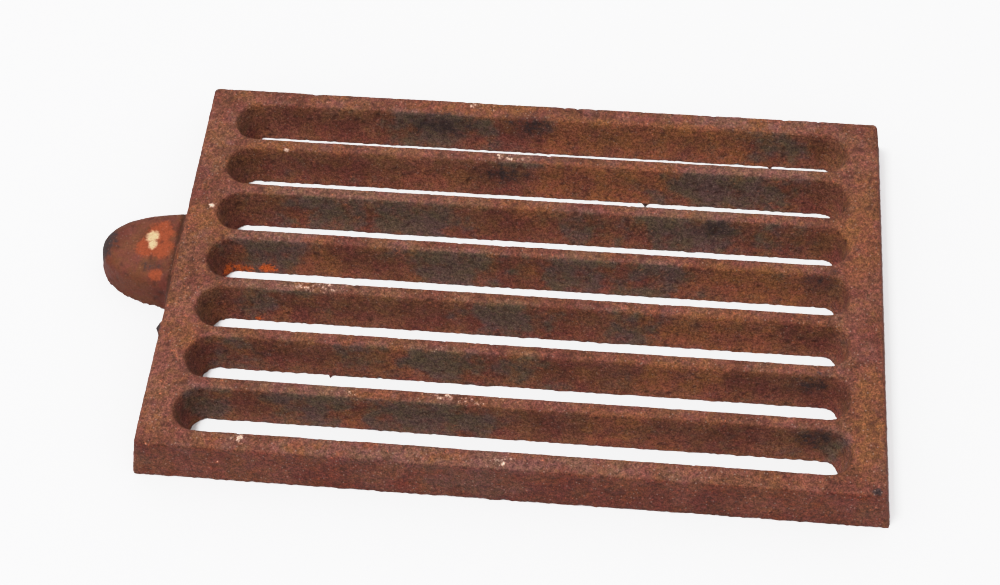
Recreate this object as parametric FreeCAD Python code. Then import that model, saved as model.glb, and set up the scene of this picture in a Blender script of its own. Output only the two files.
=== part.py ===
import FreeCAD, Part

import math
import os

Vector = FreeCAD.Vector

# A slotted cast-iron floor drain grate with one lifting lug. It lies on its wide face, so the
# outer walls lean inward going up, and the slots open out going up. +X runs along the slots,
# away from the lug, and +Z is up. The origin is below the centre of the whole grate, lug
# included, on the face that it lies on.

# Driving dimensions, in millimetres and degrees.
PLATE_LENGTH = 304.8  # of the wide face, along the slots
PLATE_WIDTH = 190.0  # of the wide face, across the slots
THICKNESS = 20.7
OUTER_DRAFT = 10.4  # the lean of the outer walls from upright
CORNER_RADIUS = 2.0  # of the plate's upright corners
EDGE_RADIUS = 1.5  # of every edge round the narrow face

SLOT_COUNT = 7
SLOT_PITCH = 24.5
SLOT_WIDTH = 12.0  # at the wide face, where a slot is narrowest
SLOT_DRAFT = 10.0
SLOT_STRAIGHT = 252.0  # between the upright axes of a slot's two round ends

LUG_LENGTH = 34.1  # from the plate's wall to the tip
LUG_HALF_WIDTH = 22.3  # at the plate's wall
LUG_TAPER = 18.9  # the turn of each side from the lug's own centre line, at its root
LUG_SHOULDER = 10.4  # how far along the lug its sides pull, before they curve in
LUG_TIP_PULL = 21.6  # how far each way the tip pulls the curve
LUG_TIP_RADIUS = 13.7  # of the curve that those figures give, at its tip
LUG_OFFSET = 5.8  # of the lug's root from the plate's centre line
LUG_SKEW = 3.0  # the turn of the lug's centre line from the plate's
LUG_ROOT_HEIGHT = 18.2
LUG_TIP_HEIGHT = 16.7
LUG_TOP_RADIUS = 7.0
LUG_FLARE_RADIUS = 3.0  # where each side of the lug runs into the plate's wall
LUG_INSET = 12.0  # how far the blank of the lug starts inside the plate, before it is trimmed

OUTER_LEAN = math.tan(math.radians(OUTER_DRAFT))
SLOT_LEAN = math.tan(math.radians(SLOT_DRAFT))
LUG_REACH = LUG_TIP_RADIUS + (LUG_LENGTH - LUG_TIP_RADIUS) * math.cos(math.radians(LUG_SKEW))
PLATE_CENTRE = Vector(LUG_REACH / 2, 0, 0)
TOLERANCE = 1e-6


def point(x, y, z):
    """A point given from the centre of the plate's wide face."""
    return Vector(x, y, z) + PLATE_CENTRE


def line(start, end):
    return Part.LineSegment(start, end).toShape()


def arc(centre, radius, start_angle, end_angle):
    """A level arc between two angles, in degrees from +X."""
    def at(angle):
        turn = math.radians(angle)
        return centre + Vector(radius * math.cos(turn), radius * math.sin(turn), 0)

    return Part.Arc(at(start_angle), at((start_angle + end_angle) / 2), at(end_angle)).toShape()


def joined(arcs):
    """A closed wire of arcs in order, with a straight run from each one to the next."""
    edges = []
    for here, following in zip(arcs, arcs[1:] + arcs[:1]):
        edges.append(here)
        edges.append(line(here.Vertexes[-1].Point, following.Vertexes[0].Point))
    return Part.Wire(edges)


def rounded_rectangle(length, width, radius, height):
    x = length / 2 - radius
    y = width / 2 - radius
    corners = ((x, y, 0), (-x, y, 90), (-x, -y, 180), (x, -y, 270))
    return joined([arc(point(cx, cy, height), radius, turn, turn + 90) for cx, cy, turn in corners])


def stadium(straight, radius, y, height):
    ends = ((straight / 2, -90), (-straight / 2, 90))
    return joined([arc(point(x, y, height), radius, turn, turn + 180) for x, turn in ends])


def lofted(lower, upper):
    return Part.makeLoft([lower, upper], True, True)


def slab():
    """The plate before its slots are cut: a rounded block with leaning walls."""
    inset = 2 * THICKNESS * OUTER_LEAN
    lower = rounded_rectangle(PLATE_LENGTH, PLATE_WIDTH, CORNER_RADIUS, 0)
    upper = rounded_rectangle(PLATE_LENGTH - inset, PLATE_WIDTH - inset, CORNER_RADIUS, THICKNESS)
    return lofted(lower, upper)


def slot(y):
    """The open space of one slot, which runs past both faces."""
    spare = EDGE_RADIUS
    radius = SLOT_WIDTH / 2
    lower = stadium(SLOT_STRAIGHT, radius - spare * SLOT_LEAN, y, -spare)
    upper = stadium(SLOT_STRAIGHT, radius + (THICKNESS + spare) * SLOT_LEAN, y, THICKNESS + spare)
    return lofted(lower, upper)


def slotted_plate():
    """The slab with its row of slots, and every edge round its narrow face rounded."""
    plate = slab()
    for index in range(SLOT_COUNT):
        plate = plate.cut(slot((index - (SLOT_COUNT - 1) / 2) * SLOT_PITCH))
    top_edges = [
        edge
        for edge in plate.Edges
        if all(abs(vertex.Z - THICKNESS) < TOLERANCE for vertex in edge.Vertexes)
    ]
    return plate.makeFillet(EDGE_RADIUS, top_edges)


def between(shape, x_low, x_high):
    """The solids of a shape between two upright planes across the slots, nearest -Y first."""
    block = Part.makeBox(x_high - x_low, PLATE_WIDTH * 2, THICKNESS * 2)
    block.translate(point(x_low, -PLATE_WIDTH, -THICKNESS / 2))
    return sorted(shape.common(block).Solids, key=lambda solid: solid.CenterOfMass.y)


def lug_curve(height):
    """The lug's edge at one height, one smooth curve from its +Y flare round the tip to the other."""
    inset = height * OUTER_LEAN
    taper = math.radians(LUG_TAPER)
    half_width = LUG_HALF_WIDTH - inset / math.cos(taper)
    start = LUG_FLARE_RADIUS * (1 - math.sin(taper)) - inset
    shoulder = LUG_SHOULDER - inset / 3
    # The middle of a curve with these six poles comes to the lug's length.
    beyond = (16 * (LUG_LENGTH - inset) - 5 * shoulder - start) / 10
    side = [
        (start, half_width - start * math.tan(taper)),
        (shoulder, half_width - shoulder * math.tan(taper)),
        (beyond, LUG_TIP_PULL - inset),
    ]
    curve = Part.BezierCurve()
    curve.setPoles(
        [Vector(x, y, height) for x, y in side]
        + [Vector(x, -y, height) for x, y in reversed(side)]
    )
    return curve.toShape()


def lug_outline(height):
    """The lug's outline at one height, with +X along the lug and its root line at x = 0."""
    wall = -height * OUTER_LEAN  # the plate's wall leans away from the lug
    root = wall - LUG_INSET
    around = lug_curve(height)
    # Each flare is tangent to the curve and to the wall.
    centre_x = wall + LUG_FLARE_RADIUS
    centre_y = around.Vertexes[0].Y + LUG_FLARE_RADIUS * math.cos(math.radians(LUG_TAPER))
    upper_flare = arc(Vector(centre_x, centre_y, height), LUG_FLARE_RADIUS, 180, 270 - LUG_TAPER)
    lower_flare = arc(Vector(centre_x, -centre_y, height), LUG_FLARE_RADIUS, 90 + LUG_TAPER, 180)
    upper_root = Vector(root, centre_y, height)
    lower_root = Vector(root, -centre_y, height)
    return Part.Wire([
        line(upper_root, upper_flare.Vertexes[0].Point),
        upper_flare,
        around,
        lower_flare,
        line(lower_flare.Vertexes[-1].Point, lower_root),
        line(lower_root, upper_root),
    ])


def lifting_lug():
    """The domed tab at one end: leaning sides, a top that falls to the tip, and a full rim."""
    blank = lofted(lug_outline(0), lug_outline(THICKNESS))
    fall = (LUG_ROOT_HEIGHT - LUG_TIP_HEIGHT) / LUG_LENGTH
    far = 2 * LUG_LENGTH
    profile = Part.makePolygon([
        Vector(-far, -far, LUG_ROOT_HEIGHT + far * fall),
        Vector(far, -far, LUG_ROOT_HEIGHT - far * fall),
        Vector(far, -far, far),
        Vector(-far, -far, far),
        Vector(-far, -far, LUG_ROOT_HEIGHT + far * fall),
    ])
    above = Part.Face(profile).extrude(Vector(0, 2 * far, 0))
    body = blank.cut(above)
    top_face = max(body.Faces, key=lambda face: face.CenterOfMass.z)
    body = body.makeFillet(LUG_TOP_RADIUS, top_face.Edges)
    body.rotate(Vector(0, 0, 0), Vector(0, 0, 1), 180 - LUG_SKEW)
    body.translate(point(-PLATE_LENGTH / 2, LUG_OFFSET, 0))
    return body.cut(slab())


def nodes():
    plate = slotted_plate()
    split = SLOT_STRAIGHT / 2
    middle = between(plate, -split, split)
    named = {
        "end_rail_lug": between(plate, -PLATE_LENGTH, -split)[0],
        "end_rail_plain": between(plate, split, PLATE_LENGTH)[0],
        "rail_front": middle[0],
        "rail_back": middle[-1],
        "lifting_lug": lifting_lug(),
    }
    for number, bar in enumerate(middle[1:-1], start=1):
        named[f"bar_{number}"] = bar
    return named


def main():
    os.makedirs("parts", exist_ok=True)
    for name, shape in nodes().items():
        shape.exportStep(f"parts/{name}.step")


main()
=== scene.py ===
import math

import bmesh
import bpy
import numpy as np
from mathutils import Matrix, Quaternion, Vector, noise


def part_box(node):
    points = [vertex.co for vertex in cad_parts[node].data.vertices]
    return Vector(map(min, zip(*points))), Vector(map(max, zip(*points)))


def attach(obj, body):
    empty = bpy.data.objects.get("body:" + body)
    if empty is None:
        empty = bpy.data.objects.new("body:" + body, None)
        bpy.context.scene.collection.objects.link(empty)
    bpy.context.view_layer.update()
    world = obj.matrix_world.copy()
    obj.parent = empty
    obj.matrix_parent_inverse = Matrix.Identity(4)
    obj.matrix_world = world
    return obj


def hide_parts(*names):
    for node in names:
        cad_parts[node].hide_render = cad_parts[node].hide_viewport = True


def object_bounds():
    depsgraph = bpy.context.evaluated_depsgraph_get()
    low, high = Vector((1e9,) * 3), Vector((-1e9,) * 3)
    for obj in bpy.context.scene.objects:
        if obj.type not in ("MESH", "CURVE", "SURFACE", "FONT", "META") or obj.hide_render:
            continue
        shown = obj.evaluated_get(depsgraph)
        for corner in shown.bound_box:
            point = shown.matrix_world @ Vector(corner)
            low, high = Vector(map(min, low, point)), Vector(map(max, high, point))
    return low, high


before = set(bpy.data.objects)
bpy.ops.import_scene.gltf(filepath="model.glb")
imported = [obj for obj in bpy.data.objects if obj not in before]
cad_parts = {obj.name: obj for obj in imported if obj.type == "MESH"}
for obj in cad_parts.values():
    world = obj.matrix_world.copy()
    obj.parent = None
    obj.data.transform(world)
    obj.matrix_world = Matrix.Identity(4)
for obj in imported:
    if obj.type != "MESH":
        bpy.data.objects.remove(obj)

cad_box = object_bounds()

# A rusted iron grate that was cast in one piece. Its skin is made in one piece too, and then
# parted where the CAD nodes meet, so no seam shows. Lengths are in metres unless a comment says
# otherwise.
MM = 0.001

# ---- The casting's places, from the frame ----------------------------------------------------
RAIL_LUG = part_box("end_rail_lug")
RAIL_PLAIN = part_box("end_rail_plain")
RAIL_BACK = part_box("rail_back")
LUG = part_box("lifting_lug")
BAR_NAMES = [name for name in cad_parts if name.startswith("bar_")]
BARS = sorted(map(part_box, BAR_NAMES), key=lambda box: box[0][1])  # from the front

PLATE_X = (RAIL_LUG[0][0] + RAIL_PLAIN[1][0]) / 2  # the middle of the plate, without its lug
HALF_LENGTH = RAIL_PLAIN[1][0] - PLATE_X
HALF_WIDTH = RAIL_BACK[1][1]
END_WALL = RAIL_LUG[0][0]  # the foot of the end wall that has the lug
OUTER_LEAN = math.tan(math.radians(10.4))  # of the outer walls, as run over rise
SPLIT_LOW = BARS[0][0][0]  # where the end rails meet the bars
SPLIT_HIGH = BARS[0][1][0]
PITCH = BARS[1][0][1] - BARS[0][0][1]
WALL_Y = [bar[0][1] for bar in BARS] + [RAIL_BACK[0][1]]  # each slot's far wall, from the front
LUG_CUT = 0.9 * MM  # the lug is parted this far out from the end wall, clear of the wall's relief
LUG_MARGIN = 3 * MM  # nothing of the lug is farther than this in front of its CAD node

# ---- The skin's relief -----------------------------------------------------------------------
SKIN = 0.7 * MM  # the spacing of the skin's points
CUT_TOUCH = 1e-7  # a point nearer than this to a cut counts as on it

# Noise: the size of its features, its octaves, its seed and its height.
SWELL = (28 * MM, 2, 1, 0.12 * MM)
LUMPS = (6 * MM, 3, 2, 0.10 * MM)
GRAIN = (1.6 * MM, 2, 3, 0.10 * MM)
RAGGED_EDGE = (2.8 * MM, 3, 5, 0.42 * MM)
RAGGED_UP_TO = 1.6 * MM  # the lower edge is ragged to about this height
PIT_NOISE = (3.2 * MM, 2, 4)
PIT_START = 0.40  # a pit is where its noise is above this
PIT_SLOPE = 0.8 * MM  # its depth for each 1 of noise above that
PIT_DARK = 0.25 * MM  # the depth at which it is fully dark

GROOVE_OUT = 0.9 * MM  # from the end wall to the middle of the groove beside the lug
GROOVE_WIDTH = 1.1 * MM
GROOVE_DEPTH = 1.3 * MM
GROOVE_LOW = 7 * MM
GROOVE_HIGH = LUG[1][2] + 0.1 * MM
GROOVE_FADE = 2 * MM  # it fades out over this, at the lug's sides

# Burrs of flash on the walls, in millimetres: X, Y and Z, how far each runs each way, and how far
# it stands out, toward -X where it is on the end wall and toward -Y elsewhere.
FLASH = (
    (48.7, 55.1, 0.0, 1.5, 2.2), (-78.2, -42.9, 0.0, 0.9, 1.8), (103.6, 79.6, 0.0, 1.0, 1.2),
    (-152.4, -34.5, 15.5, 4.5, 2.2),
)
FLASH_NEAR = 4.0  # millimetres: a burr is drawn from wall that is nearer to it than this
FLASH_THICK = 1.3  # millimetres: half of a burr's thickness
FLASH_DARK = 0.8 * MM  # a burr is fully dark where it stands out this far
END_DEEP = 9 * MM  # the outer walls are this near to the plate's box at its ends
SIDE_DEEP = 7 * MM  # and this near at its sides, where the slots' walls are closer
LUG_BLEND = 3 * MM  # the lug's finer skin sets in over this, out from the end wall

# ---- Where the rust differs ------------------------------------------------------------------
# The attributes of each point of the skin that the rust reads.
MARKS = ("side", "outer", "hollow", "crease", "smooth", "grey", "orange", "soot", "fresh", "bare")

# All of these are in millimetres: X and Y from the middle of the plate, and Z from the floor.
# Films on the far walls of the slots: the slot, counted from the front, and both ends along X.
GREY_FILMS = (
    (0, -134, -119), (0, -98, -72), (0, -58, -9), (0, 121, 132),
    (1, -124, -112), (1, -74, -62), (1, -44, -16), (1, 0, 8),
    (2, -118, -108), (2, -20, 12), (2, 32, 48),
    (3, -123, -101), (3, -53, -13), (3, 8, 36), (3, 44, 66),
    (4, -102, -78), (4, -72, -32), (4, 14, 24), (4, 44, 86), (4, 102, 112),
    (5, 62, 108),
    (6, -66, -24), (6, 95, 113),
)
ORANGE_FILMS = (
    (0, -66, -54), (0, 34, 60), (1, -56, -44), (1, 44, 92), (2, 56, 112), (3, -96, -84),
    (3, 72, 116), (4, 2, 14), (5, -56, -46), (5, -2, 54), (6, 2, 98),
)
FILM_NOISE = (10 * MM, 4, 6)  # its size in metres, its octaves and its seed
FILM_WANDER = 13  # how far the ragged ends wander
FILM_SOFT = 3.5  # how softly a film ends
FILM_MIDDLE = 1.8  # from the wall's foot to the middle of a film, along Y
FILM_REACH = 4.0  # how far a film reaches from its middle, along Y
FILM_AT_FOOT = 0.7  # how much of a film there is at the wall's foot
FILM_RISE = 20  # the height over which it would grow by 1

TOP = round(RAIL_PLAIN[1][2] / MM, 1)  # the height of the plate's top
WORN = 17.7  # the height of the lug's worn top
# Single spots: X, Y and Z of the middle, then the half-size along X, Y and Z.
GREY_SPOTS = (
    (-72, 37, TOP, 45, 7, 4), (-72, -61, TOP, 34, 7, 4), (72, 37, TOP, 28, 7, 4),
    (-12, 61, TOP, 14, 7, 4), (90, 62, TOP, 34, 9, 4), (92, 88, TOP, 30, 8, 4),
    (-104, 12, TOP, 16, 7, 4), (-96, -12, TOP, 24, 7, 4), (-10, -88, 10, 16, 12, 12),
    (-30, -88, TOP, 70, 6, 4),
)
ORANGE_SPOTS = (
    (-141, -38, TOP, 9, 7, 4), (142, -58, TOP, 8, 20, 4), (-36, 89, TOP, 26, 7, 4),
    (141, 30, TOP, 9, 26, 4), (-112, 61, TOP, 12, 6, 4), (-143, 22, TOP, 7, 12, 4),
)
SOOT_SPOTS = (
    (-183.0, 7.5, 13.0, 6.5, 9.5, 8.0),  # on the lug's tip
    (144.8, -89.6, TOP - 0.5, 2.4, 1.8, 2.0),  # by a corner of the top
)
CHARRED_SPOTS = (
    (-158.8, -4.8, 17.6, 5.5, 3.2, 4.0),  # on the lug's worn top
    (-45.0, 82.0, 14.0, 23.0, 4.0, 13.0),  # on the slots' walls
    (-6.0, 82.5, 17.0, 15.0, 5.0, 10.0),
    (-14.0, 58.0, 13.0, 17.0, 4.0, 10.0),
    (80.0, 33.5, 15.0, 13.0, 4.0, 9.0),
    (124.0, 11.0, 15.0, 13.0, 5.0, 9.0),
    (121.0, -64.5, 15.0, 10.0, 5.0, 9.0),
    (120.0, -40.0, 15.0, 12.0, 5.0, 9.0),
)
FRESH_SPOTS = (
    (-163.0, 4.5, WORN, 6.0, 6.5, 6.0),  # on the lug's worn top
    (-158.5, 12.0, WORN, 7.0, 7.0, 6.0),
    (-157.0, 4.0, WORN, 6.0, 6.5, 6.0),
    (-156.6, -9.4, WORN, 3.8, 3.2, 4.0),
    (-130.0, 4.8, 2.5, 2.8, 3.0, 3.0),  # low on the slots' walls
    (-123.5, 6.6, 2.5, 4.8, 3.0, 3.0),
    (-112.7, 6.8, 3.0, 3.8, 2.5, 3.2),
    (-113.0, -18.0, 2.0, 2.0, 2.5, 1.6),
)
BARE_SPOTS = (
    (-161.6, 9.6, WORN, 4.0, 4.2, 3.0),  # on the lug's worn top
    (-160.8, 6.2, WORN, 2.9, 3.8, 3.0),
    (-106.2, -85.2, TOP, 1.1, 1.1, 1.0),  # chips on the top of the plate
    (-7.6, 63.8, TOP, 0.9, 1.4, 1.0),
    (-6.0, 60.6, TOP, 0.9, 1.6, 1.0),
    (-138.2, 26.2, TOP, 1.2, 1.3, 1.0),
    (-111.0, 58.5, TOP - 0.5, 1.4, 0.8, 1.0),
)
SCUFFS = (
    (-14.0, 61.5, TOP, 13.0, 3.5, 3.0), (-86.0, -12.5, TOP, 15.0, 3.5, 3.0),
    (-2.0, -88.0, TOP, 10.0, 4.0, 3.0), (-20.0, -61.5, TOP, 20.0, 3.5, 3.0),
    (-30.0, 89.0, TOP, 14.0, 3.0, 3.0), (-33.0, -38.0, TOP, 9.0, 3.0, 3.0),
    (-65.0, -62.0, TOP, 6.0, 3.0, 3.0), (-107.0, -86.5, TOP, 6.0, 3.0, 3.0),
)
SOOT_STRENGTH = 1.35  # above 1, a spot's middle is wholly covered
CHARRED_STRENGTH = 0.72
SCUFF_STRENGTH = 0.44

# ---- The rust's colours ----------------------------------------------------------------------
# For each kind of face, the colour underneath, and then the patches over it, from the bottom up:
# the field that each follows, where it starts to show and is whole on that field, and its colour.
TOP_RUST = ((0.0662, 0.0200, 0.0120), (
    ("broad", 0.38, 0.62, (0.0926, 0.0318, 0.0198)),
    ("greyness", 0.48, 0.78, (0.0860, 0.0360, 0.0255)),
    ("warmth", 0.50, 0.70, (0.0965, 0.0322, 0.0150)),
    ("ragged", 0.58, 0.76, (0.0592, 0.0227, 0.0150)),
))
# Partly painted light: the slots' walls are a lighter rust than the top, for the light that the floor
# throws into the slots; the rest is the rust's own colour.
WALL_RUST_AND_PAINTED_LIGHT = ((0.0846, 0.0244, 0.0148), (
    ("broad", 0.38, 0.62, (0.1064, 0.0382, 0.0207)),
    ("warmth", 0.52, 0.78, (0.1400, 0.0450, 0.0200)),
    ("greyness", 0.54, 0.82, (0.0640, 0.0368, 0.0272)),
))
# Partly painted shade: the outer walls are a darker rust than the slots' walls; the rest is the
# rust's own colour.
OUTER_RUST_AND_PAINTED_SHADE = ((0.0549, 0.0123, 0.0075), (
    ("broad", 0.38, 0.62, (0.0753, 0.0222, 0.0127)),
    ("warmth", 0.48, 0.70, (0.0720, 0.0158, 0.0072)),
    ("greyness", 0.54, 0.78, (0.0601, 0.0212, 0.0151)),
))
FRESH = (0.3300, 0.0600, 0.0115)
FRESH_ON_LUG = (0.1400, 0.0285, 0.0105)
SOOT = (0.0200, 0.0115, 0.0112)
SCUFFED = (0.3200, 0.2050, 0.1550)
BARE_ON_LUG = (0.3300, 0.2200, 0.1250)
PIT = (0.0300, 0.0100, 0.0070)
DIRT = (0.0320, 0.0120, 0.0070)
# The colour of the pale specks, which are painted glints.
PAINTED_GLINT = (0.2200, 0.1400, 0.1100)

# Tints, which the colour is multiplied by.
# Painted light on the slots' walls: darker high up as painted shade, lighter low down as painted
# light bounced up from the floor.
HIGH_PAINTED_SHADE = (0.91, 0.94, 0.92)
LOW_PAINTED_LIGHT = (1.29, 1.23, 1.26)
LUG_TINT = (0.88, 0.79, 0.70)
OCHRE_TINT = (0.97, 1.10, 0.85)
PURPLE_TINT = (1.02, 0.90, 1.09)
COARSE_TINTS = ((0.54,) * 3, (1.50,) * 3)
FINE_TINTS = ((0.38,) * 3, (1.62,) * 3)
WALL_HIGH = 15 * MM  # a slot's wall has painted shade above this, and painted light from the floor below WALL_LOW
WALL_LOW = 3 * MM

# The rust's noises: the size of the features, the detail, the roughness and the seed.
NOISES = {
    "broad": (24 * MM, 4, 0.68, 1),
    "warm": (15 * MM, 4, 0.68, 2),
    "dull": (11 * MM, 4, 0.68, 3),
    "ragged": (4 * MM, 5, 0.70, 4),
    "grain": (1.3 * MM, 4, 0.75, 5),
    "dust": (0.55 * MM, 2, 0.70, 6),
    "hue": (10 * MM, 6, 0.80, 8),
}
GREY_SHARE = 0.32  # how far a film or a spot moves the noise that its patches follow
ORANGE_SHARE = 0.22
LUG_GRAIN = 0.35  # how much of the plate's grain the smoother lug has
EDGE_NOISE = 1.7  # how ragged the edges of soot, fresh rust and bare metal are
PIT_SHARE = 0.6  # how much of the colour a pit, dirt and a painted glint each cover
DIRT_SHARE = 0.85
PAINTED_GLINT_SHARE = 0.55
PAINTED_GLINT_SPACING = 2.2 * MM
PAINTED_GLINT_SEED = 7
BUMP_STRENGTH = 0.8
BUMP_HEIGHT = 0.35 * MM
ROUGHNESS = (0.70, 0.92)
SPECULAR = 0.1

# ---- The camera and the light ----------------------------------------------------------------
CAMERA_PLACE = Vector((PLATE_X + 0.0453, -0.4006, 0.6337))
CAMERA_AIM = Vector((PLATE_X - 0.0111, 0.0031, 0.0012))
CAMERA_ROLL = -3.07  # degrees
CAMERA_LENS = 62.93  # millimetres
CAMERA_SENSOR = 36.0  # millimetres wide

FLOOR_REACH = 3.0
FLOOR_COLOUR = (0.84, 0.84, 0.85, 1)
FLOOR_ROUGHNESS = 0.9
SKY_STRENGTH = 1.45
KEY_PLACE = (-2.0, -0.5, 5.66)
KEY_SIZE = 1.16
KEY_POWER = 480
WHITE_LEVEL = 2.5
# The tone curve: a level of light, where 1 is the white level, and how bright it looks.
TONES = ((0.14, 0.35), (0.28, 0.70), (0.36, 0.82), (0.5, 0.875), (0.75, 0.927))
TONES_END = (1.0, 0.98)

# ---- Helpers ---------------------------------------------------------------------------------
SEED_STEP = np.array((7.31, 3.17, 5.53))  # how far apart two seeds are in the noise
FINER = 2.0  # how many times finer each octave is
FALL_OFF = 0.9  # and it is weaker by FINER to this power


def vectors(source, name):
    """One vector property of every item in a collection, as rows."""
    values = np.empty(len(source) * 3)
    source.foreach_get(name, values)
    return values.reshape(-1, 3)


def fractal(points, size, octaves, seed):
    """Smooth noise of about -1 to 1 at each point, with features of the given size."""
    places = (points / size + SEED_STEP * seed).tolist()
    return np.array([noise.fractal(place, FALL_OFF, FINER, octaves) for place in places])


def bell(away):
    """1 at nothing away, 0.37 at 1 away, and 0 well beyond."""
    return np.exp(-(away**2))


def spots(points, places):
    """1 in the middle of the nearest spot, 0.37 at its rim, and 0 well away from every spot."""
    nearest = np.zeros(len(points))
    for x, y, z, half_x, half_y, half_z in places:
        away = (points / MM - (x + PLATE_X / MM, y, z)) / (half_x, half_y, half_z)
        nearest = np.maximum(nearest, np.exp(-(away**2).sum(axis=1)))
    return nearest


def films(points, places):
    """1 in the middle of a patch on a slot's far wall, less low down, and 0 past its ragged ends."""
    cover = np.zeros(len(points))
    x = (points[:, 0] - PLATE_X) / MM + fractal(points, *FILM_NOISE) * FILM_WANDER
    for row, start, end in places:
        from_middle = (points[:, 1] - WALL_Y[row]) / MM - FILM_MIDDLE
        beside = np.exp(-((from_middle / FILM_REACH) ** 4))
        along = 1 / (1 + np.exp((start - x) / FILM_SOFT)) / (1 + np.exp((x - end) / FILM_SOFT))
        cover = np.maximum(cover, along * beside)
    return cover * np.clip(FILM_AT_FOOT + points[:, 2] / (FILM_RISE * MM), 0, 1)


# ---- The skin --------------------------------------------------------------------------------


def casting_skin():
    """All the CAD nodes as one closed skin of evenly spaced points."""
    joined = bmesh.new()
    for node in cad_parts.values():
        joined.from_mesh(node.data)
    solid = bpy.data.meshes.new("solid")
    joined.to_mesh(solid)
    joined.free()
    blank = bpy.data.objects.new("blank", solid)
    bpy.context.scene.collection.objects.link(blank)
    remesh = blank.modifiers.new("skin", "REMESH")
    remesh.mode = "VOXEL"
    remesh.voxel_size = SKIN
    graph = bpy.context.evaluated_depsgraph_get()
    skin = bpy.data.meshes.new_from_object(blank.evaluated_get(graph))
    bpy.data.objects.remove(blank)
    bpy.data.meshes.remove(solid)
    return skin


def flash(points, normals):
    """How far each point is drawn out, level and square to its wall, into a burr of flash."""
    drawn = np.zeros_like(points)
    for x, y, z, half_run, reach in FLASH:
        away = np.abs(points[:, :2] / MM - (x + PLATE_X / MM, y))
        axis = 0 if abs(x) * MM > HALF_LENGTH - MM else 1
        near_wall = (away[:, axis] < FLASH_NEAR) & (normals[:, axis] < -0.7)
        level = bell((points[:, 2] / MM - z) / FLASH_THICK)
        along = np.clip(1 - away[:, 1 - axis] / half_run, 0, 1)
        drawn[:, axis] -= along * near_wall * level * reach * MM
    return drawn


def past_wall(points):
    """How far each point is out from the plate's end wall on the lug's side."""
    return END_WALL + points[:, 2] * OUTER_LEAN - points[:, 0]


def groove(points):
    """The groove between the top of the lug and the plate's end wall: 1 at its bottom."""
    on_top = (points[:, 2] < GROOVE_HIGH) & (points[:, 2] > GROOVE_LOW)
    past_lug = np.maximum(LUG[0][1] - points[:, 1], points[:, 1] - LUG[1][1])
    on_lug = np.clip(-past_lug / GROOVE_FADE, 0, 1)
    return bell((past_wall(points) - GROOVE_OUT) / GROOVE_WIDTH) * on_top * on_lug


def waves(points, kind):
    """How far one kind of noise stands out at each point."""
    size, octaves, seed, height = kind
    return fractal(points, size, octaves, seed) * height


def relief(points):
    """How far each point of the skin stands out, and how deep in a pit it is."""
    uneven = waves(points, SWELL) + waves(points, LUMPS) + waves(points, GRAIN)
    ragged = waves(points, RAGGED_EDGE) * bell(points[:, 2] / RAGGED_UP_TO)
    pits = np.clip(fractal(points, *PIT_NOISE) - PIT_START, 0, None) * PIT_SLOPE
    return uneven + ragged - pits, pits


def marks(points, normals, pits, crease, burrs):
    """What the rust reads at each point of the skin, each from 0 to 1 or a little over."""
    near_end = np.abs(points[:, 0] - PLATE_X) > HALF_LENGTH - END_DEEP
    near_side = np.abs(points[:, 1]) > HALF_WIDTH - SIDE_DEEP
    dark_burrs = np.clip(-burrs.sum(axis=1) / FLASH_DARK, 0, 1)
    soot = spots(points, SOOT_SPOTS) * SOOT_STRENGTH
    charred = spots(points, CHARRED_SPOTS) * CHARRED_STRENGTH
    return {
        "side": np.clip((0.95 - normals[:, 2]) / 0.45, 0, 1),  # 1 where it leans 60 degrees or more
        "outer": (near_end | near_side).astype(float),
        "hollow": np.clip(pits / PIT_DARK, 0, 1),
        "crease": crease,
        "smooth": np.clip(past_wall(points) / LUG_BLEND, 0, 1),
        "grey": np.maximum(films(points, GREY_FILMS), spots(points, GREY_SPOTS)),
        "orange": np.maximum(films(points, ORANGE_FILMS), spots(points, ORANGE_SPOTS)),
        "soot": np.maximum.reduce([soot, charred, dark_burrs]),
        "fresh": spots(points, FRESH_SPOTS),
        "bare": np.maximum(spots(points, BARE_SPOTS), spots(points, SCUFFS) * SCUFF_STRENGTH),
    }


def weathered(skin):
    """Gives the skin its relief, its marks, and its normals for smooth shading once it is cut."""
    points = vectors(skin.vertices, "co")
    normals = vectors(skin.vertex_normals, "vector")
    height, pits = relief(points)
    underside = normals[:, 2] < -0.9
    height[underside] = -np.abs(height[underside])  # it only goes in, because it lies on the floor
    crease = groove(points)
    burrs = flash(points, normals)
    moved = points + normals * height[:, None] + burrs
    moved[:, 2] -= crease * np.clip(normals[:, 2], 0, 1) * GROOVE_DEPTH
    skin.vertices.foreach_set("co", np.clip(moved, cad_box[0], cad_box[1]).ravel())
    skin.update()
    for name, value in marks(points, normals, pits, crease, burrs).items():
        skin.attributes.new(name, "FLOAT", "POINT").data.foreach_set("value", value)
    shading = skin.attributes.new("shading", "FLOAT_VECTOR", "POINT")
    shading.data.foreach_set("vector", vectors(skin.vertex_normals, "vector").ravel())
    return skin


# ---- The parts -------------------------------------------------------------------------------


def node_at(place):
    """The CAD node that holds a point of the skin."""
    x, y, z = place
    if x < END_WALL - LUG_CUT + z * OUTER_LEAN and y > LUG[0][1] - LUG_MARGIN:
        return "lifting_lug"
    if x < SPLIT_LOW:
        return "end_rail_lug"
    if x > SPLIT_HIGH:
        return "end_rail_plain"
    row = math.floor(y / PITCH + (len(BARS) + 2) / 2)  # how many slots' middles are in front
    if row <= 0:
        return "rail_front"
    return f"bar_{row}" if row <= len(BARS) else "rail_back"


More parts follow.
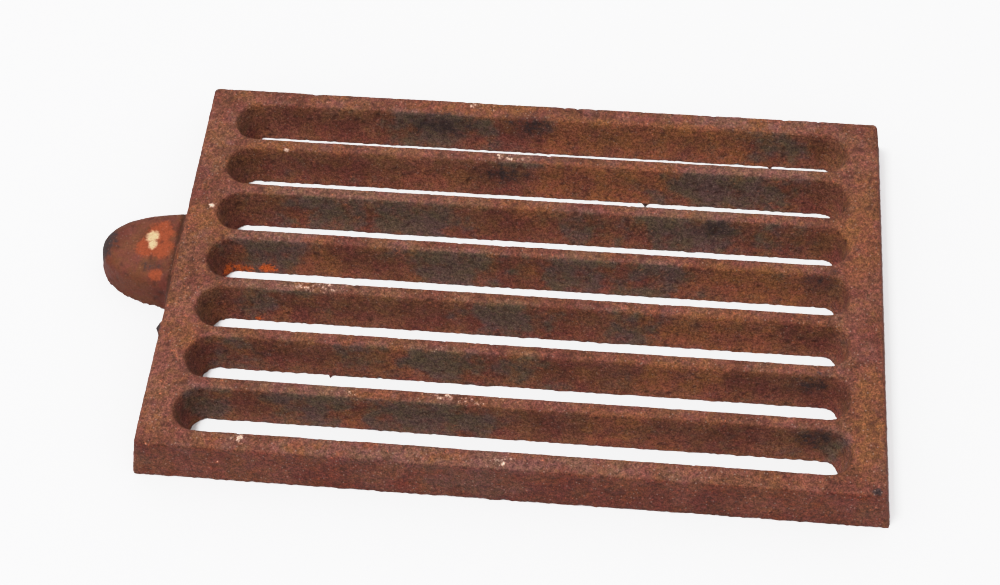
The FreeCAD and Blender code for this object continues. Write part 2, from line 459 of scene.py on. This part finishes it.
def cut_skin(skin):
    """Cuts the skin's faces along the planes where the CAD nodes meet."""
    planes = (
        ((SPLIT_LOW, 0, 0), (1, 0, 0)),
        ((SPLIT_HIGH, 0, 0), (1, 0, 0)),
        ((END_WALL - LUG_CUT, 0, 0), (1, 0, -OUTER_LEAN)),
    )
    cut = bmesh.new()
    cut.from_mesh(skin)
    for place, normal in planes:
        everything = cut.verts[:] + cut.edges[:] + cut.faces[:]
        bmesh.ops.bisect_plane(cut, geom=everything, plane_co=place, plane_no=normal, dist=CUT_TOUCH)
    cut.to_mesh(skin)
    cut.free()
    return skin


def cap(piece):
    """Closes the piece where it was cut, and gives its skin the whole casting's smooth shading."""
    outer_faces = len(piece.polygons)
    form = bmesh.new()
    form.from_mesh(piece)
    bmesh.ops.holes_fill(form, edges=[edge for edge in form.edges if edge.is_boundary], sides=0)
    form.to_mesh(piece)
    form.free()
    shading = vectors(piece.attributes["shading"].data, "vector")
    normals = []
    for face in piece.polygons:
        face.use_smooth = True
        if face.index < outer_faces:
            normals.extend(shading[corner] for corner in face.vertices)
        else:
            normals.extend([face.normal] * len(face.vertices))
    piece.normals_split_custom_set(normals)
    piece.attributes.remove(piece.attributes["shading"])


def copy_attribute(source, piece, used):
    """Gives the piece an attribute of the skin, for those of its points that the piece uses."""
    field, width = ("vector", 3) if source.data_type == "FLOAT_VECTOR" else ("value", 1)
    values = np.empty(len(source.data) * width)
    source.data.foreach_get(field, values)
    target = piece.attributes.new(source.name, source.data_type, "POINT")
    target.data.foreach_set(field, values.reshape(-1, width)[used].ravel())


def parts(skin):
    """One closed mesh for each CAD node."""
    groups = {name: [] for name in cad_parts}
    for face in skin.polygons:
        groups[node_at(face.center)].append(face.vertices[:])
    points = vectors(skin.vertices, "co")
    made = {}
    for name, faces in groups.items():
        used = np.unique(np.concatenate([np.array(face) for face in faces]))
        place = dict(zip(used.tolist(), range(len(used))))
        corners = [[place[corner] for corner in face] for face in faces]
        piece = bpy.data.meshes.new("cast_" + name)
        piece.from_pydata(points[used].tolist(), [], corners)
        for attribute in MARKS + ("shading",):
            copy_attribute(skin.attributes[attribute], piece, used)
        cap(piece)
        made[name] = piece
    return made


# ---- The rust --------------------------------------------------------------------------------


class Nodes:
    """Short calls for the few kinds of shader node that the rust is mixed from."""

    def __init__(self, material):
        self.tree = material.node_tree
        self.place = self.add("TexCoord").outputs["Object"]

    def add(self, kind, **settings):
        node = self.tree.nodes.new("ShaderNode" + kind)
        for name, value in settings.items():
            setattr(node, name, value)
        return node

    def feed(self, socket, value):
        if isinstance(value, bpy.types.NodeSocket):
            self.tree.links.new(value, socket)
        else:
            socket.default_value = value

    def texture(self, kind, size, seed):
        """A texture in the object's own space, with features of the given size in metres."""
        mapping = self.add("Mapping")
        self.feed(mapping.inputs["Vector"], self.place)
        mapping.inputs["Location"].default_value = (seed, seed * 0.7, seed * 1.3)
        mapping.inputs["Scale"].default_value = [1 / size] * 3
        made = self.add(kind)
        self.feed(made.inputs["Vector"], mapping.outputs["Vector"])
        made.inputs["Scale"].default_value = 1.0
        return made

    def noise(self, size, detail, roughness, seed):
        """Noise from 0 to 1."""
        made = self.texture("TexNoise", size, seed)
        made.inputs["Detail"].default_value = detail
        made.inputs["Roughness"].default_value = roughness
        return made.outputs["Fac"]

    def dots(self, spacing, seed):
        """The distance to the nearest of many scattered dots, where 1 is about their spacing."""
        return self.texture("TexVoronoi", spacing, seed).outputs["Distance"]

    def attribute(self, name):
        return self.add("Attribute", attribute_name=name).outputs["Fac"]

    def height(self):
        """How high a point is, in metres."""
        parts = self.add("SeparateXYZ")
        self.feed(parts.inputs[0], self.place)
        return parts.outputs["Z"]

    def maths(self, operation, first, second):
        made = self.add("Math", operation=operation)
        self.feed(made.inputs[0], first)
        self.feed(made.inputs[1], second)
        return made.outputs[0]

    def plus(self, first, second):
        return self.maths("ADD", first, second)

    def times(self, first, second):
        return self.maths("MULTIPLY", first, second)

    def step(self, value, start, whole):
        """0 at start and before, 1 at whole and past it, with a smooth change between."""
        made = self.add("MapRange", interpolation_type="SMOOTHSTEP")
        self.feed(made.inputs["Value"], value)
        made.inputs["From Min"].default_value = start
        made.inputs["From Max"].default_value = whole
        return made.outputs["Result"]

    def between(self, value, low, high):
        """A value of 0 to 1 spread from low to high."""
        made = self.add("MapRange")
        self.feed(made.inputs["Value"], value)
        made.inputs["To Min"].default_value = low
        made.inputs["To Max"].default_value = high
        return made.outputs["Result"]

    def mix(self, share, under, over, blend="MIX"):
        made = self.add("Mix", data_type="RGBA", blend_type=blend)
        self.feed(made.inputs["Factor"], share)
        for socket, colour in (("A", under), ("B", over)):
            linked = isinstance(colour, bpy.types.NodeSocket)
            self.feed(made.inputs[socket], colour if linked else (*colour, 1))
        return made.outputs["Result"]


def rust_fields(nodes):
    """What the rust follows: the skin's marks, the noises, and a few made from both."""
    fields = {name: nodes.attribute(name) for name in MARKS}
    fields.update((name, nodes.noise(*look)) for name, look in NOISES.items())
    fields["greyness"] = nodes.plus(nodes.times(fields["grey"], GREY_SHARE), fields["dull"])
    fields["warmth"] = nodes.plus(nodes.times(fields["orange"], ORANGE_SHARE), fields["warm"])
    fields["rough"] = nodes.between(fields["smooth"], 1.0, LUG_GRAIN)
    return fields


def patched(nodes, fields, rust):
    """The colour of one kind of face: what is underneath, with its patches over it."""
    colour, patches = rust
    for field, start, whole, over in patches:
        colour = nodes.mix(nodes.step(fields[field], start, whole), colour, over)
    return colour


def plain_rust(nodes, fields):
    """The rust of the top, of the slots' walls and of the outer walls, drifting in hue, with painted
    light and painted shade on the walls.
    """
    # The slots' walls' rust is partly painted light, and the outer walls' rust partly painted shade.
    top, wall_with_painted_light, outer = (patched(nodes, fields, rust) for rust in (TOP_RUST, WALL_RUST_AND_PAINTED_LIGHT, OUTER_RUST_AND_PAINTED_SHADE))
    # Painted shade high on the slots' walls, and painted light from the floor low on them.
    low = nodes.step(nodes.height(), WALL_HIGH, WALL_LOW)
    wall_with_painted_light = nodes.mix(1.0, wall_with_painted_light, nodes.mix(low, HIGH_PAINTED_SHADE, LOW_PAINTED_LIGHT), "MULTIPLY")
    colour = nodes.mix(fields["side"], top, nodes.mix(fields["outer"], wall_with_painted_light, outer))
    colour = nodes.mix(fields["smooth"], colour, LUG_TINT, "MULTIPLY")
    hue = nodes.mix(nodes.step(fields["hue"], 0.35, 0.65), OCHRE_TINT, PURPLE_TINT)
    return nodes.mix(1.0, colour, hue, "MULTIPLY")


def marked(nodes, fields, colour):
    """Adds fresh rust, soot and bare metal, each with a ragged edge."""
    edge = nodes.maths("SUBTRACT", nodes.plus(fields["ragged"], fields["grain"]), 1.0)
    edge = nodes.times(edge, EDGE_NOISE)
    soft_edge = nodes.times(edge, fields["rough"])
    fresh = nodes.mix(fields["smooth"], FRESH, FRESH_ON_LUG)
    bare = nodes.mix(fields["smooth"], SCUFFED, BARE_ON_LUG)
    for mark, ragged, start, whole, over in (
        ("fresh", soft_edge, 0.34, 0.70, fresh),
        ("soot", edge, 0.36, 0.90, SOOT),
        ("bare", soft_edge, 0.46, 0.85, bare),
    ):
        colour = nodes.mix(nodes.step(nodes.plus(fields[mark], ragged), start, whole), colour, over)
    return colour


def grained(nodes, fields, colour):
    """Adds coarse and fine grain, dark pits, dirt in the groove, and pale specks of painted glint."""
    coarse = nodes.mix(nodes.step(fields["grain"], 0.30, 0.70), *COARSE_TINTS)
    fine = nodes.mix(nodes.step(fields["dust"], 0.25, 0.75), *FINE_TINTS)
    colour = nodes.mix(fields["rough"], colour, coarse, "MULTIPLY")
    colour = nodes.mix(fields["rough"], colour, fine, "MULTIPLY")
    colour = nodes.mix(nodes.times(fields["hollow"], PIT_SHARE), colour, PIT)
    dirt = nodes.step(fields["crease"], 0.15, 0.80)
    colour = nodes.mix(nodes.times(dirt, DIRT_SHARE), colour, DIRT)
    # Painted glints: pale specks scattered over the skin, fewer on the lug.
    painted_glints = nodes.step(nodes.dots(PAINTED_GLINT_SPACING, PAINTED_GLINT_SEED), 0.17, 0.07)
    painted_glints = nodes.times(nodes.times(painted_glints, PAINTED_GLINT_SHARE), fields["rough"])
    return nodes.mix(painted_glints, colour, PAINTED_GLINT)


def rusted_iron():
    """The one material of the whole casting."""
    material = bpy.data.materials.new("rusted_cast_iron")
    material.use_nodes = True
    material.node_tree.nodes.clear()
    nodes = Nodes(material)
    fields = rust_fields(nodes)
    colour = grained(nodes, fields, marked(nodes, fields, plain_rust(nodes, fields)))

    bump = nodes.add("Bump")
    bump.inputs["Strength"].default_value = BUMP_STRENGTH
    bump.inputs["Distance"].default_value = BUMP_HEIGHT
    nodes.feed(bump.inputs["Height"], fields["grain"])

    surface = nodes.add("BsdfPrincipled")
    nodes.feed(surface.inputs["Base Color"], colour)
    nodes.feed(surface.inputs["Normal"], bump.outputs["Normal"])
    nodes.feed(surface.inputs["Roughness"], nodes.between(fields["ragged"], *ROUGHNESS))
    surface.inputs["Specular IOR Level"].default_value = SPECULAR
    output = nodes.add("OutputMaterial")
    nodes.feed(output.inputs["Surface"], surface.outputs["BSDF"])
    return material


def casting():
    """The whole grate, as one piece for each CAD node."""
    skin = cut_skin(weathered(casting_skin()))
    finish = rusted_iron()
    for name, mesh in parts(skin).items():
        mesh.materials.append(finish)
        piece = bpy.data.objects.new("cast_" + name, mesh)
        bpy.context.scene.collection.objects.link(piece)
        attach(piece, "root")
        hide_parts(name)
    bpy.data.meshes.remove(skin)


# ---- The studio ------------------------------------------------------------------------------


def camera():
    data = bpy.data.cameras.new("camera")
    data.lens = CAMERA_LENS
    data.sensor_width = CAMERA_SENSOR
    data.clip_start = 0.01
    made = bpy.data.objects.new("camera", data)
    made.location = CAMERA_PLACE
    turn = (CAMERA_AIM - CAMERA_PLACE).to_track_quat("-Z", "Y")
    made.rotation_mode = "QUATERNION"
    made.rotation_quaternion = turn @ Quaternion((0, 0, 1), math.radians(CAMERA_ROLL))
    bpy.context.scene.collection.objects.link(made)
    bpy.context.scene.camera = made


def floor():
    corners = [(x * FLOOR_REACH, y * FLOOR_REACH, 0) for x, y in ((-1, -1), (1, -1), (1, 1), (-1, 1))]
    mesh = bpy.data.meshes.new("floor")
    mesh.from_pydata(corners, [], [(0, 1, 2, 3)])
    material = bpy.data.materials.new("white_table")
    material.use_nodes = True
    surface = material.node_tree.nodes["Principled BSDF"]
    surface.inputs["Base Color"].default_value = FLOOR_COLOUR
    surface.inputs["Roughness"].default_value = FLOOR_ROUGHNESS
    surface.inputs["Specular IOR Level"].default_value = SPECULAR
    mesh.materials.append(material)
    made = bpy.data.objects.new("floor", mesh)
    bpy.context.scene.collection.objects.link(made)


def key_light():
    """A soft round light high over the grate, a little toward the lug's end."""
    data = bpy.data.lights.new("key", "AREA")
    data.shape = "DISK"
    data.size = KEY_SIZE
    data.energy = KEY_POWER
    made = bpy.data.objects.new("key", data)
    made.location = KEY_PLACE
    made.rotation_mode = "QUATERNION"
    made.rotation_quaternion = (-Vector(KEY_PLACE)).to_track_quat("-Z", "Y")
    bpy.context.scene.collection.objects.link(made)


def sky():
    """Even white light from all round."""
    world = bpy.data.worlds.new("studio")
    world.use_nodes = True
    background = world.node_tree.nodes["Background"]
    background.inputs["Color"].default_value = (1, 1, 1, 1)
    background.inputs["Strength"].default_value = SKY_STRENGTH
    bpy.context.scene.world = world


def tones():
    """Spreads out the rust's tones, and keeps the floor's short of white."""
    view = bpy.context.scene.view_settings
    view.view_transform = "Standard"
    view.use_curve_mapping = True
    view.curve_mapping.white_level = (WHITE_LEVEL,) * 3
    curve = view.curve_mapping.curves[3]  # the one for all three colours together
    curve.points[1].location = TONES_END
    for place in TONES:
        curve.points.new(*place)
    view.curve_mapping.update()


casting()
camera()
floor()
key_light()
sky()
tones()
